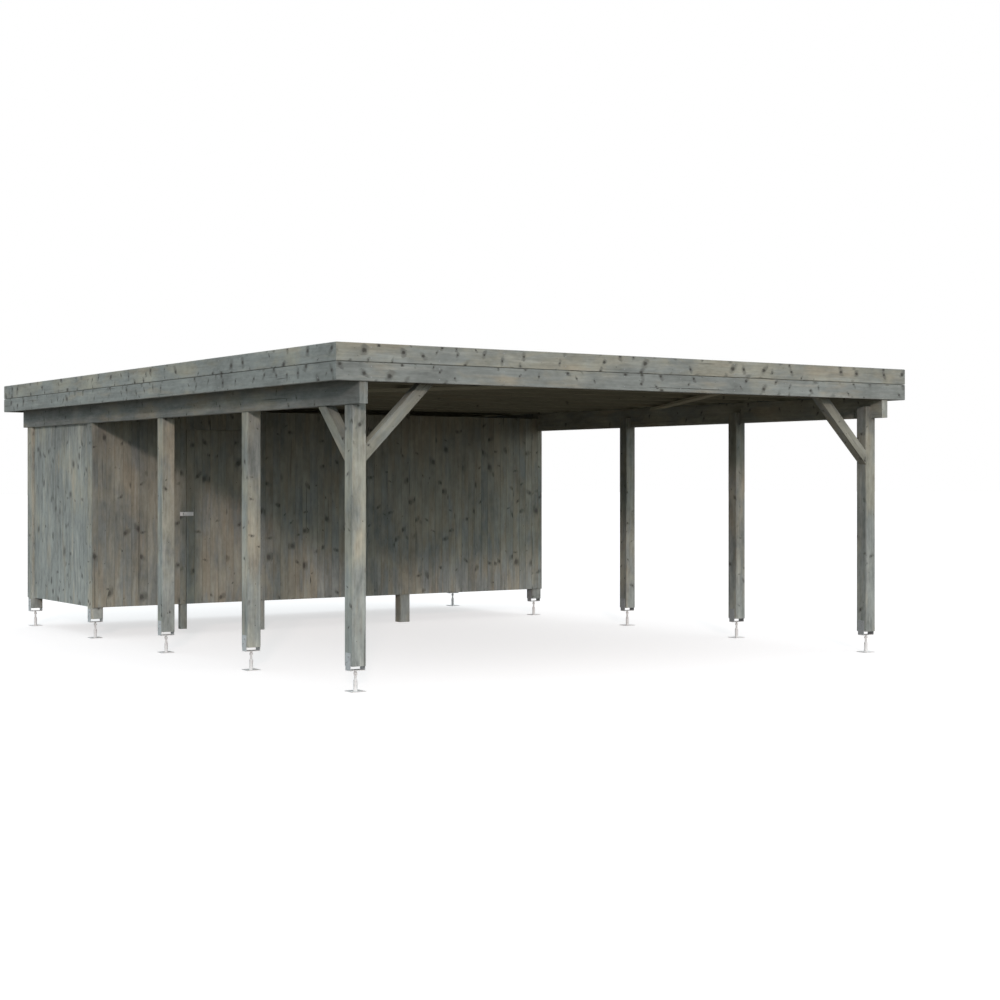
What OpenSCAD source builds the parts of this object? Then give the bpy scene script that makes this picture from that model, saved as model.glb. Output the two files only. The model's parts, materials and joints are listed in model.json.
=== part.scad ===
// Double carport of planed timber with a flat roof and a storage room across its last bay.
// Millimetres, +Z up. X runs along the front, Y from the front to the back.
// The origin is on the ground under the middle of the roof.

/* [Posts] */
// Side of a square post
post_w = 120; // [90:5:150]
// Chamfer along a post's edges
post_chamfer = 5; // [2:1:10]
// Distance from one post to the next along a side
post_pitch = 1787; // [1400:10:2400]
// Width over the outer faces of the two rows of posts
row_w = 5514; // [4200:10:6500]
// Width of the ledge that carries the beam
ledge_w = 55; // [40:1:65]
// Height of the tongue that stands beside the beam
tongue_h = 104; // [60:2:140]

/* [Feet] */
// Height of the shoe's underside over the ground
foot_h = 159; // [130:1:220]
// Side of the square base plate
base_w = 120; // [110:5:160]
// Thickness of the base plate
base_t = 6; // [4:1:10]
// Distance between the bolt holes of the base plate
base_hole_pitch = 84; // [78:2:92]
// Diameter of the bolt holes
base_hole_d = 11; // [8:1:14]
// Outer diameter of the foot's tube
tube_d = 32; // [26:1:40]
// Height of the tube above the base plate
tube_h = 80; // [50:5:90]
// Diameter of the threaded rod
rod_d = 18; // [14:1:22]
// Width of the nut across its corners
nut_d = 34; // [28:1:42]
// Height of the nut
nut_h = 16; // [10:1:20]
// Free rod between the nut and the shoe
nut_drop = 15; // [4:1:24]
// Width of the shoe's cheeks
shoe_w = 72; // [50:2:90]
// Thickness of the shoe's plates
shoe_t = 6; // [4:1:8]
// Height of the cheeks over the shoe's underside
shoe_h = 136; // [100:2:180]
// Open gap between the shoe's plate and the end of the post
post_gap = 30; // [10:1:45]

/* [Beams and rafters] */
// Clear height under the beams
beam_z = 2165; // [2000:5:2600]
// Thickness of a beam
beam_w = 70; // [56:2:100]
// Height of a beam
beam_h = 202; // [160:2:240]
// Thickness of a rafter
rafter_w = 45; // [35:1:70]
// Height of a rafter
rafter_h = 145; // [120:5:200]
// Rafters from one post to the next
rafters_per_bay = 3; // [2:1:4]
// Chamfer along the edges of beams, rafters and braces
edge_chamfer = 3; // [1:1:6]

/* [Braces] */
// Height where the lower edge of a brace meets its post
brace_z = 1738; // [1500:10:1850]
// Width of a brace, seen from its side
brace_w = 90; // [60:5:110]
// Thickness of a brace
brace_t = 90; // [60:5:110]
// Width of the slanting boards under the rafters
slant_w = 95; // [70:5:120]
// Thickness of the slanting boards
slant_t = 22; // [16:1:28]
// Distance of their front ends from the middle of the roof
slant_x = 805; // [500:5:1200]
// Angle between these boards and the beams
slant_angle = 30; // [22:1:40]

/* [Roof] */
// Overhang of the roof in front of the first posts
front_overhang = 158; // [120:2:400]
// Overhang of the roof behind the last posts
back_overhang = 134; // [120:2:400]
// Overhang of the roof outside the rows of posts
side_overhang = 223; // [120:1:400]
// Thickness of the roof boards
deck_t = 19; // [16:1:28]
// Thickness of the roof covering
cover_t = 4; // [3:1:8]
// Thickness of a fascia board
fascia_t = 20; // [16:1:28]
// Height of a fascia board
fascia_board_h = 140.5; // [120:0.5:180]
// Open joint between the two fascia boards
fascia_gap = 3; // [1:1:6]
// Chamfer along the outer edges of a fascia board
fascia_chamfer = 4; // [2:1:6]
// How far the fascia hangs below the top of the beams
fascia_drop = 36; // [10:1:60]

/* [Storage room] */
// Distance of the walls' lower edge from the shoes
wall_gap = 15; // [5:1:60]
// Open gap between the front and back walls and the rafters
wall_vent = 59; // [30:1:90]
// Thickness of the wall boards
clad_t = 22; // [18:1:28]
// Play between the wall boards and a beam
beam_play = 2; // [1:1:6]
// Set-back of the side walls from the posts' outer faces
side_wall_inset = 28; // [4:1:40]
// Thickness of a wall rail
rail_t = 45; // [35:1:60]
// Height of a wall rail
rail_h = 70; // [50:5:95]
// Distance from a wall's edge to its lower or upper rail
rail_edge = 40; // [20:5:80]

/* [Door] */
// Clear width between the jamb and the hinge post
door_clear_w = 768; // [700:2:900]
// Height of the boards over the door
over_door_h = 194; // [120:2:300]
// Thickness of the door boards
door_t = 17; // [14:1:22]
// Gap round the door leaf
door_gap = 6; // [5:1:10]
// How far the leaf laps over the jamb
jamb_lap = 16; // [10:1:40]
// How far the leaf laps over the hinge post
hinge_lap = 16; // [10:1:60]
// Side of the door jamb
jamb_w = 70; // [60:2:90]
// Height of the jamb's lower end
jamb_z = 50; // [0:5:120]
// Width of a ledge on the back of the leaf
ledger_h = 95; // [70:5:120]
// Thickness of a ledge
ledger_t = 20; // [16:1:28]
// Play at the ends of a ledge
ledger_play = 14; // [10:1:30]
// Distance from the leaf's edge to its lower or upper ledge
ledger_edge = 160; // [100:10:300]

/* [Hinges and latch] */
// Height of a hinge
hinge_h = 100; // [76:2:140]
// Width of one hinge leaf
hinge_leaf_w = 40; // [30:1:60]
// Thickness of a hinge leaf
hinge_t = 3; // [2:0.5:4]
// Radius of a hinge's knuckle
knuckle_r = 7; // [6:0.5:10]
// Radius of a hinge's pin
pin_r = 3; // [2.5:0.5:4]
// Running clearance round the pin
pin_play = 0.05; // [0.03:0.01:0.1]
// Axial gap between two knuckles
knuckle_gap = 0.5; // [0.3:0.1:1]
// Distance from the leaf's edge to the nearest hinge
hinge_edge = 180; // [120:10:300]
// Height of the latch's middle
latch_z = 1241; // [900:1:1500]
// Length of the hasp
hasp_l = 148; // [120:2:180]
// Height of the hasp
hasp_h = 40; // [38:2:50]
// Thickness of the hasp
hasp_t = 4; // [3:0.5:6]
// Distance of the hasp's back from the wall
hasp_stand = 8; // [6:1:14]
// Radius of the staple's bow, to the middle of its rod
staple_r = 10; // [8:0.5:11]
// Diameter of the staple's rod
staple_d = 7; // [5:0.5:8]
// Straight reach of the staple in front of the hasp
staple_reach = 8; // [6:1:14]
// Clearance round the staple in the hasp's slot
staple_play = 3; // [3:0.5:4]

/* [Hidden] */
$fn = 48;
eps = 1;
posts = 5;
shed_post = 3;
last_post = posts - 1;
root2 = sqrt(2);

timber = [0.55, 0.58, 0.53];
shade = [0.45, 0.47, 0.43];
boards = [0.50, 0.52, 0.48];
steel = [0.83, 0.84, 0.84];
felt = [0.25, 0.26, 0.27];

roof_w = row_w + 2 * side_overhang;
roof_d = front_overhang + last_post * post_pitch + post_w + back_overhang;
front_y = -roof_d / 2;
back_y = roof_d / 2;
row_x = row_w / 2;
function post_y(i) = front_y + front_overhang + i * post_pitch;

shoe_top = foot_h + shoe_h;
post_z = foot_h + shoe_t + post_gap;
beam_top = beam_z + beam_h;
beam_out = row_x - ledge_w + beam_w;
beam_in = row_x - ledge_w;
rafter_top = beam_top + rafter_h;
deck_top = rafter_top + deck_t;
fascia_z = beam_top - fascia_drop;
fascia_h = 2 * fascia_board_h + fascia_gap;
fascia_top = fascia_z + fascia_h;
frame_x = roof_w / 2 - fascia_t;
frame_front = front_y + fascia_t;
frame_back = back_y - fascia_t;

wall_z = shoe_top + wall_gap;
wall_top_z = beam_top - wall_vent;
front_wall_y = post_y(shed_post);
front_face_y = front_wall_y - clad_t;
back_wall_y = post_y(last_post) + post_w;
third_x = (row_w - post_w) / 6;
hinge_post_x = -third_x - post_w / 2;
jamb_x = hinge_post_x - door_clear_w - jamb_w;
leaf_left = hinge_post_x - door_clear_w - jamb_lap;
leaf_right = hinge_post_x + hinge_lap;
door_top = wall_top_z - over_door_h - door_gap;
door_h = door_top - wall_z;
hinge_x = leaf_right + door_gap / 2;
hinge_y = front_face_y - knuckle_r;
gap_x = leaf_left - door_gap / 2;
strap_x = gap_x - hasp_l / 2;
staple_x = (strap_x + gap_x) / 2;
rail_zs = [wall_z + rail_edge, (wall_z + beam_z - rail_h) / 2, beam_z - rail_edge - rail_h];
hinge_zs = [wall_z + hinge_edge, wall_z + (door_h - hinge_h) / 2, door_top - hinge_edge - hinge_h];

// Shapes that several pieces share

// What is drawn for the left side, or its mirror image on the right.
module on_side(side) {
    if (side == "left") children();
    else mirror([1, 0, 0]) children();
}

// An outline in X and Z, swept from y over depth t.
module sweep_y(y, t) {
    translate([0, y + t, 0]) rotate([90, 0, 0]) linear_extrude(t) children();
}

// An outline in Y and Z, swept from x over width t.
module sweep_x(x, t) {
    translate([x, 0, 0]) rotate([90, 0, 90]) linear_extrude(t) children();
}

// A rectangle with its corners cut off.
module chamfered(w, h, c) {
    polygon([[c, 0], [w - c, 0], [w, c], [w, h - c], [w - c, h], [c, h], [0, h - c], [0, c]]);
}

// Posts and feet

// A post of the left row, with a ledge for the beam and a tongue beside it.
module post(i) {
    ledge_h = beam_z - post_z;
    full_h = ledge_h + tongue_h;
    color(timber) translate([-row_x, post_y(i), post_z]) difference() {
        linear_extrude(full_h) chamfered(post_w, post_w, post_chamfer);
        translate([-eps, -eps, ledge_h]) cube([ledge_w + eps, post_w + 2 * eps, tongue_h + eps]);
    }
}

// An adjustable steel foot: base plate, tube with a tapered neck, rod, nut and a shoe round the post's end.
module foot() {
    neck_h = tube_d - rod_d;
    outer_w = post_w + 2 * shoe_t;
    difference() {
        translate([-base_w / 2, -base_w / 2, 0]) cube([base_w, base_w, base_t]);
        for (x = [-1, 1], y = [-1, 1])
            translate([x * base_hole_pitch / 2, y * base_hole_pitch / 2, -eps])
                cylinder(d = base_hole_d, h = base_t + 2 * eps);
    }
    translate([0, 0, base_t]) cylinder(d = tube_d, h = tube_h);
    translate([0, 0, base_t + tube_h]) cylinder(d1 = tube_d, d2 = rod_d, h = neck_h);
    translate([0, 0, base_t]) cylinder(d = rod_d, h = foot_h - base_t);
    translate([0, 0, foot_h - nut_drop - nut_h]) cylinder(d = nut_d, h = nut_h, $fn = 6);
    translate([-outer_w / 2, -shoe_w / 2, foot_h]) difference() {
        cube([outer_w, shoe_w, shoe_h]);
        translate([shoe_t, -eps, shoe_t]) cube([post_w, shoe_w + 2 * eps, shoe_h]);
    }
}

module feet() {
    color(steel)
        for (i = [0 : last_post])
            translate([-row_x + post_w / 2, post_y(i) + post_w / 2, 0]) foot();
}

// Frame of the roof

module beam() {
    color(timber) translate([-beam_out, 0, beam_z])
        sweep_y(frame_front, frame_back - frame_front) chamfered(beam_w, beam_h, edge_chamfer);
}

// Rafters over every post and between them, and one behind each of the front and back fascias.
module rafters() {
    pitch = post_pitch / rafters_per_bay;
    middles = [for (k = [0 : last_post * rafters_per_bay]) post_y(0) + post_w / 2 + k * pitch];
    starts = concat([frame_front], [for (y = middles) y - rafter_w / 2], [frame_back - rafter_w]);
    color(shade)
        for (y = starts)
            translate([0, y, beam_top])
                sweep_x(-frame_x, 2 * frame_x) chamfered(rafter_w, rafter_h, edge_chamfer);
}

module roof_boards() {
    color(shade) translate([-frame_x, frame_front, rafter_top])
        cube([2 * frame_x, frame_back - frame_front, deck_t]);
}

// The covering lies on the boards and is turned up against the fascia.
module roof_covering() {
    color(felt) difference() {
        translate([-frame_x, frame_front, deck_top])
            cube([2 * frame_x, frame_back - frame_front, fascia_top - deck_top]);
        translate([-frame_x + cover_t, frame_front + cover_t, deck_top + cover_t])
            cube([2 * (frame_x - cover_t), frame_back - frame_front - 2 * cover_t, fascia_h]);
    }
}

// The section of a fascia board: the outer face is at 0 and has cut edges.
module fascia_section() {
    t = fascia_t;
    h = fascia_board_h;
    c = fascia_chamfer;
    polygon([[c, 0], [t, 0], [t, h], [c, h], [0, h - c], [0, c]]);
}

// Two boards, one over the other.
module fascia_pair() {
    for (k = [0, 1])
        translate([0, 0, fascia_z + k * (fascia_board_h + fascia_gap)]) children();
}

// The front fascia, mitred at both ends.
module fascia_across() {
    color(timber) fascia_pair() intersection() {
        translate([0, front_y, 0]) sweep_x(-roof_w / 2, roof_w) fascia_section();
        linear_extrude(fascia_board_h)
            polygon([[-roof_w / 2, front_y], [roof_w / 2, front_y],
                     [frame_x, frame_front], [-frame_x, frame_front]]);
    }
}

// The left fascia, mitred at both ends.
module fascia_along() {
    color(timber) fascia_pair() intersection() {
        translate([-roof_w / 2, 0, 0]) sweep_y(front_y, roof_d) fascia_section();
        linear_extrude(fascia_board_h)
            polygon([[-roof_w / 2, front_y], [-frame_x, frame_front],
                     [-frame_x, frame_back], [-roof_w / 2, back_y]]);
    }
}

// A brace that rises along X: cut upright against the post and level under what it carries.
module brace(rise) {
    intersection() {
        translate([0, -eps, -eps]) cube([rise + eps, brace_t + 2 * eps, rise + eps]);
        rotate([0, 45, 0]) translate([-brace_w, 0, -eps])
            linear_extrude(rise * root2 + 2 * eps) chamfered(brace_w, brace_t, edge_chamfer);
    }
}

module brace_front() {
    color(timber) translate([-row_x + post_w, post_y(0), brace_z]) brace(beam_top - brace_z);
}

module brace_side() {
    color(timber) translate([-row_x, post_y(0) + post_w, brace_z])
        mirror([1, -1, 0]) brace(beam_z - brace_z);
}

// A slanting board under the rafters, from behind the front fascia to the inner face of the left beam.
module slanting_board() {
    intersection() {
        translate([-beam_in, frame_front, beam_top - slant_t]) cube([beam_in, roof_d, slant_t]);
        translate([-slant_x, frame_front, beam_top - slant_t]) rotate([0, 0, slant_angle])
            translate([-slant_w / 2, -slant_w, 0]) cube([slant_w, roof_d, slant_t]);
    }
}

module roof_braces() {
    color(shade)
        for (side = ["left", "right"])
            on_side(side) slanting_board();
}

// Storage room

// The corner of a wall that is cut away for a beam, on the left side.
module beam_notch() {
    cut_w = row_x - beam_in + beam_play + eps;
    cut_h = wall_top_z - beam_z + beam_play + eps;
    translate([-row_x - eps, beam_z - beam_play]) square([cut_w, cut_h]);
}

// The outline of a wall from x0 to x1, clear of both beams.
module wall_outline(x0, x1) {
    difference() {
        translate([x0, wall_z]) square([x1 - x0, wall_top_z - wall_z]);
        beam_notch();
        mirror([1, 0]) beam_notch();
    }
}

module front_wall_left() {
    color(boards) sweep_y(front_face_y, clad_t) wall_outline(-row_x, leaf_left - door_gap);
}

module front_wall_right() {
    color(boards) sweep_y(front_face_y, clad_t) wall_outline(leaf_right + door_gap, row_x);
}

module front_wall_over_door() {
    color(boards) translate([leaf_left - door_gap, front_face_y, door_top + door_gap])
        cube([leaf_right - leaf_left + 2 * door_gap, clad_t, wall_top_z - door_top - door_gap]);
}

module back_wall() {
    color(boards) sweep_y(back_wall_y, clad_t) wall_outline(-row_x, row_x);
}

module side_wall() {
    color(boards) translate([-row_x + side_wall_inset, front_wall_y + post_w, wall_z])
        cube([clad_t, post_pitch - post_w, beam_z - wall_z]);
}

// Rails between two uprights, at the three heights of every wall.
module rails_across(x0, x1, y) {
    for (z = rail_zs)
        translate([x0, y, z]) cube([x1 - x0, rail_t, rail_h]);
}

module front_wall_rails() {
    header_z = door_top + door_gap;
    color(shade) {
        rails_across(-row_x + post_w, jamb_x, front_wall_y);
        rails_across(hinge_post_x + post_w, third_x - post_w / 2, front_wall_y);
        rails_across(third_x + post_w / 2, row_x - post_w, front_wall_y);
        translate([jamb_x + jamb_w, front_wall_y, header_z]) cube([door_clear_w, rail_t, rail_h]);
    }
}

module back_wall_rails() {
    y = back_wall_y - rail_t;
    color(shade) {
        rails_across(-row_x + post_w, -third_x - post_w / 2, y);
        rails_across(-third_x + post_w / 2, third_x - post_w / 2, y);
        rails_across(third_x + post_w / 2, row_x - post_w, y);
    }
}

module side_wall_rails() {
    color(shade)
        for (z = rail_zs)
            translate([-row_x + side_wall_inset + clad_t, front_wall_y + post_w, z])
                cube([rail_t, post_pitch - post_w, rail_h]);
}

// An upright of the front or back wall, from height z up to the rafters.
module wall_upright(x, y, w, z) {
    color(timber) translate([x, y, z]) linear_extrude(beam_top - z) chamfered(w, w, post_chamfer);
}

module back_wall_posts() {
    for (x = [-third_x, third_x])
        wall_upright(x - post_w / 2, back_wall_y - post_w, post_w, wall_z);
}

// Door

module door_boards() {
    color(boards) translate([leaf_left, front_face_y, wall_z])
        cube([leaf_right - leaf_left, door_t, door_h]);
}

// Two ledges and the slanting brace between them, which rises from the hinge side.
module door_ledges() {
    x0 = jamb_x + jamb_w + ledger_play;
    x1 = hinge_post_x - ledger_play;
    y = front_face_y + door_t;
    low = wall_z + ledger_edge;
    high = door_top - ledger_edge - ledger_h;
    cut_w = ledger_h * root2;
    color(shade) union() {
        for (z = [low, high])
            translate([x0, y, z]) cube([x1 - x0, ledger_t, ledger_h]);
        sweep_y(y, ledger_t)
            polygon([[x1, low + ledger_h - eps], [x1 - cut_w, low + ledger_h - eps],
                     [x0, high + eps], [x0 + cut_w, high + eps]]);
    }
}

// One leaf of a hinge with its knuckle from z0 to z1; dir is the side on which the leaf lies.
module hinge_leaf(z0, z1, dir) {
    leaf_x = dir > 0 ? 0 : -hinge_leaf_w;
    difference() {
        union() {
            translate([hinge_x, hinge_y, z0]) cylinder(r = knuckle_r, h = z1 - z0);
            translate([hinge_x + leaf_x, front_face_y - hinge_t, z0]) cube([hinge_leaf_w, hinge_t, z1 - z0]);
        }
        translate([hinge_x, hinge_y, z0 - eps]) cylinder(r = pin_r + pin_play, h = z1 - z0 + 2 * eps);
    }
}

// The middle knuckle and leaf, on the door.
module door_hinges() {
    third = hinge_h / 3;
    color(steel)
        for (z = hinge_zs)
            hinge_leaf(z + third + knuckle_gap, z + 2 * third - knuckle_gap, -1);
}

// The two outer knuckles and leaves with the pin, on the wall.
module frame_hinges() {
    third = hinge_h / 3;
    color(steel)
        for (z = hinge_zs) {
            hinge_leaf(z, z + third, 1);
            hinge_leaf(z + 2 * third, z + hinge_h, 1);
            translate([hinge_x, hinge_y, z]) cylinder(r = pin_r, h = hinge_h);
        }
}

// The hasp: a strap that stands off the wall, with a slot over the staple and a seat on the door.
module door_hasp() {
    seat_x = leaf_left + door_gap;
    slot_w = staple_d + 2 * staple_play;
    slot_h = 2 * (staple_r + staple_play) + staple_d;
    color(steel) difference() {
        union() {
            translate([strap_x, front_face_y - hasp_stand - hasp_t, latch_z - hasp_h / 2])
                cube([hasp_l, hasp_t, hasp_h]);
            translate([seat_x, front_face_y - hasp_stand, latch_z - hasp_h / 2])
                cube([strap_x + hasp_l - seat_x, hasp_stand, hasp_h]);
        }
        translate([staple_x - slot_w / 2, front_face_y - hasp_stand - hasp_t - eps, latch_z - slot_h / 2])
            cube([slot_w, hasp_t + 2 * eps, slot_h]);
    }
}

// The staple: a bow of round rod on the fixed boards, standing out through the slot.
module latch_staple() {
    leg = hasp_stand + hasp_t + staple_reach;
    color(steel) translate([staple_x, front_face_y, latch_z]) {
        for (z = [-staple_r, staple_r])
            translate([0, 0, z]) rotate([90, 0, 0]) cylinder(d = staple_d, h = leg);
        translate([0, -leg, 0]) rotate([0, -90, 0]) rotate([0, 0, 180])
            rotate_extrude(angle = 180) translate([staple_r, 0]) circle(d = staple_d);
    }
}

on_side("left") post(0);  // post_left_1
on_side("left") post(1);  // post_left_2
on_side("left") post(2);  // post_left_3
on_side("left") post(3);  // post_left_4
on_side("left") post(4);  // post_left_5
on_side("right") post(0);  // post_right_1
on_side("right") post(1);  // post_right_2
on_side("right") post(2);  // post_right_3
on_side("right") post(3);  // post_right_4
on_side("right") post(4);  // post_right_5
on_side("left") feet();  // feet_left
on_side("right") feet();  // feet_right
on_side("left") beam();  // beam_left
on_side("right") beam();  // beam_right
rafters();
roof_boards();
roof_covering();
fascia_across();  // fascia_front
mirror([0, 1, 0]) fascia_across();  // fascia_back
on_side("left") fascia_along();  // fascia_left
on_side("right") fascia_along();  // fascia_right
on_side("left") brace_front();  // brace_front_left
on_side("right") brace_front();  // brace_front_right
on_side("left") brace_side();  // brace_side_left
on_side("right") brace_side();  // brace_side_right
roof_braces();
front_wall_left();
front_wall_right();
front_wall_over_door();
on_side("left") side_wall();  // left_wall
on_side("right") side_wall();  // right_wall
back_wall();
front_wall_rails();
on_side("left") side_wall_rails();  // left_wall_rails
on_side("right") side_wall_rails();  // right_wall_rails
back_wall_rails();
wall_upright(hinge_post_x, front_wall_y, post_w, 0);  // hinge_post
wall_upright(third_x - post_w / 2, front_wall_y, post_w, 0);  // front_wall_post
back_wall_posts();
wall_upright(jamb_x, front_wall_y, jamb_w, jamb_z);  // door_jamb
door_boards();
door_ledges();
door_hinges();
frame_hinges();
door_hasp();
latch_staple();
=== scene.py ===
"""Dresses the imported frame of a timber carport: boards, fixings, finishes, light and camera."""
import json
from math import ceil, pi, radians
from typing import NamedTuple

import bmesh
import bpy
from bpy.props import FloatProperty, FloatVectorProperty, IntProperty, PointerProperty
from mathutils import Euler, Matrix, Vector


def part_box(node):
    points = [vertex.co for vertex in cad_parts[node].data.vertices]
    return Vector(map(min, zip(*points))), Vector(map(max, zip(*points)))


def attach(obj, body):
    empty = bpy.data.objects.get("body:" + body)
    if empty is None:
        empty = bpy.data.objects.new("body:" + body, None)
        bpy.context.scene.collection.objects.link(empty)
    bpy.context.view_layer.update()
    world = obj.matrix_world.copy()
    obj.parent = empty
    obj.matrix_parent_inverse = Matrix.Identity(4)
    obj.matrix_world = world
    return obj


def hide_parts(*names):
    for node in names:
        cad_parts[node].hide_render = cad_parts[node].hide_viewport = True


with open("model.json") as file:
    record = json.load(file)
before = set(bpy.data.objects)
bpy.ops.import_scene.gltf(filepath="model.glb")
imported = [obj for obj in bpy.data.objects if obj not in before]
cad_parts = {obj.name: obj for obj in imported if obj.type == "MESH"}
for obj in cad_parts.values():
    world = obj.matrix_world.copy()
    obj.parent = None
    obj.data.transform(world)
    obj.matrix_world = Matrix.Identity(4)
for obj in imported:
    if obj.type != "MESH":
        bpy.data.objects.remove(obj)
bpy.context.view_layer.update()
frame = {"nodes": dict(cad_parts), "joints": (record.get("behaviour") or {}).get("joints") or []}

bl_info = {
    "name": "Timber carport",
    "version": (1, 0, 0),
    "blender": (4, 5, 0),
    "location": "3D View > Sidebar > Carport",
    "description": "Boards, fixings, weathered timber and a plain stage for a timber carport",
    "category": "Add Mesh",
}

# Groups of CAD nodes by what they are made of and how their grain runs

POSTS = [name for name in frame["nodes"] if name.startswith("post_")]
LEFT_POSTS = [name for name in POSTS if "left" in name]
RIGHT_POSTS = [name for name in POSTS if "right" in name]
WALL_UPRIGHTS = ["hinge_post", "front_wall_post", "back_wall_posts", "door_jamb"]
RAILS_ALONG = ["left_wall_rails", "right_wall_rails"]
RAILS_ACROSS = ["front_wall_rails", "back_wall_rails", "door_ledges"]
FASCIA_ALONG = ["fascia_left", "fascia_right"]
FASCIA_ACROSS = ["fascia_front", "fascia_back"]
FRONT_BRACES = ["brace_front_left", "brace_front_right"]
SIDE_BRACES = ["brace_side_left", "brace_side_right"]
DOOR_STEEL = ["door_hinges", "frame_hinges", "door_hasp", "latch_staple"]

FRAME_BODY = "frame"
DOOR_BODY = "door"

# Ways in which grain runs
UP = (0.0, 0.0, 1.0)
ALONG = (0.0, 1.0, 0.0)
ACROSS = (1.0, 0.0, 0.0)
RISING_OUT = (-1.0, 0.0, 1.0)
RISING_BACK = (0.0, 1.0, 1.0)
SLANTING = (0.5, 0.866, 0.0)
AXES = (Vector(ACROSS), Vector(ALONG), Vector(UP))

# Turns that bring a row of boards, drawn along +X with its face to -Y, to its wall
FACE_FRONT = (0.0, 0.0, 0.0)
FACE_BACK = (0.0, 0.0, pi)
FACE_LEFT = (0.0, 0.0, -pi / 2)
FACE_RIGHT = (0.0, 0.0, pi / 2)
FACE_DOWN = (pi / 2, 0.0, 0.0)


class Look(NamedTuple):
    """How one kind of timber differs from the next."""
    light: float = 1.0             # factor on all its tones
    cool: float = 0.0              # lean to the blue grey
    warm: float = 0.0              # lean to the brown grey
    low: float = 0.0               # painted sky light: lighter and cooler towards the ground
    uneven: float = 0.8            # strength of streaks and patches
    gloss: float = 0.2
    knots: float = 0.5             # share of the cells that hold a knot
    cell: tuple = (0.06, 0.34)     # room for one knot, across and along the grain
    knot: tuple = (0.004, 0.011)   # least and greatest radius of a knot
    dark: float = 0.78             # strength of a knot's dark middle


LEFT_POST = Look(light=1.11, warm=0.05, low=0.25, uneven=1.0, knots=0.55, knot=(0.004, 0.014), dark=0.66)
# Painted shade: the posts on the right are a darker copy of the same timber
RIGHT_POST_PAINTED_SHADE = LEFT_POST._replace(light=0.92, warm=0.02, low=0.34, knots=0.42)
BRACE = Look(light=0.84, warm=0.02)
# Painted shade: the left beam is a darker, bluer copy of the beam timber, for the fascia's shadow on its
# face
LEFT_BEAM_PAINTED_SHADE = Look(light=0.79, cool=0.14, cell=(0.07, 0.34), knot=(0.005, 0.012))
# The right beam drops the painted shade
RIGHT_BEAM = LEFT_BEAM_PAINTED_SHADE._replace(light=1.05, cool=0.0)
FASCIA = Look(light=1.0, cool=-0.02, uneven=0.75, knots=0.65, cell=(0.075, 0.19), knot=(0.006, 0.021))
# Painted sky light: the side fascia boards are a lighter, bluer copy of the front ones
SIDE_FASCIA_PAINTED_SKY_LIGHT = FASCIA._replace(light=1.06, cool=0.08)
FRONT_WALL = Look(light=0.92, cool=-0.03, warm=0.08, low=0.13, knots=0.55, cell=(0.0885, 0.46),
                  knot=(0.006, 0.028), dark=0.5)
# Painted sky light: the left wall is a lighter, bluer copy of the front wall's timber
LEFT_WALL_PAINTED_SKY_LIGHT = FRONT_WALL._replace(light=1.12, cool=0.10, warm=-0.02, uneven=1.05)
# Painted light: the right and back walls are a lighter, warmer copy of the wall timber, lifting their shade
HIDDEN_WALL_PAINTED_LIGHT = FRONT_WALL._replace(light=1.2, cool=-0.08, warm=0.05)
# Painted light: the uprights are a lighter copy of the wall timber, lifting a post's cast shadow
WALL_UPRIGHT_PAINTED_LIGHT = FRONT_WALL._replace(light=1.12)
ROOF = Look(light=1.22, cool=-0.40, warm=0.02, uneven=0.25, gloss=0.0, knots=0.1, cell=(0.07, 0.5))
# Painted highlight: the roof braces are a lighter copy of the roof timber, as if catching light from the
# front
ROOF_BRACE_PAINTED_LIGHT = ROOF._replace(light=1.7)


class Row(NamedTuple):
    """A wall of boards."""
    node: str
    turn: tuple
    seed: int
    notched: tuple = (False, False)   # whether its first and its last board stop under a beam
    fitted: bool = False              # whether whole boards fill the width of the door


ROWS = [
    Row("front_wall_left", FACE_FRONT, 3, notched=(True, False)),
    Row("front_wall_right", FACE_FRONT, 5, notched=(False, True)),
    Row("front_wall_over_door", FACE_FRONT, 8, fitted=True),
    Row("door_boards", FACE_FRONT, 11, fitted=True),
    Row("left_wall", FACE_LEFT, 14),
    Row("right_wall", FACE_RIGHT, 19),
    Row("back_wall", FACE_BACK, 23, notched=(True, True)),
]
ROOF_SEED = 31
TONE_SEED = 17.0   # added to a row's seed for the tones of its boards

# A rest narrower than this share of a board gets no board of its own
SLIVER = 0.01

# Where a board's tongue lies, as shares of its thickness
TONGUE_FROM = 0.42
TONGUE_TO = 0.68

# Sizes for the felt, the hinges' screws and the shoes' bolts
COVER_THICKNESS = 0.004
FELT_PLAY = 0.002
HINGES = 3
HINGE_HEIGHT = 0.1
HINGE_LEAF = 0.003
HINGE_SCREWS = (0.016, 0.031)                    # distances from the pin
FRAME_KNUCKLES = (1 / 6, 5 / 6)                  # middles, as shares of the hinge's height
DOOR_KNUCKLES = (0.5,)
SHOE_BOLTS = ((-0.012, 0.072), (0.012, 0.030))   # shift along a cheek, and drop from its top

# The stage, in metres but for the sensor's millimetres
FLOOR_REACH = 150.0
FLOOR_TONE = (0.55, 0.50, 0.49, 1.0)
FLOOR_GLOW = 0.66
WHITE = (1.0, 1.0, 1.0, 1.0)
GLOW_EDGE = (0.1, 0.9)   # cosines between which the front light fades in
SENSOR = 36.0
VIEW_END = 400.0


# Settings that a user would change

def length(name, description, default, low, high):
    return FloatProperty(name=name, description=description, default=default, min=low, max=high,
                         unit="LENGTH")


def tone(name, description, default):
    return FloatVectorProperty(name=name, description=description, default=default, min=0, max=1,
                               subtype="COLOR", size=3)


def amount(name, description, default, low, high):
    return FloatProperty(name=name, description=description, default=default, min=low, max=high)


def angle(name, description, degrees):
    return FloatProperty(name=name, description=description, default=radians(degrees), subtype="ANGLE")


def vector(name, description, default, subtype):
    return FloatVectorProperty(name=name, description=description, default=default, subtype=subtype, size=3)


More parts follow.
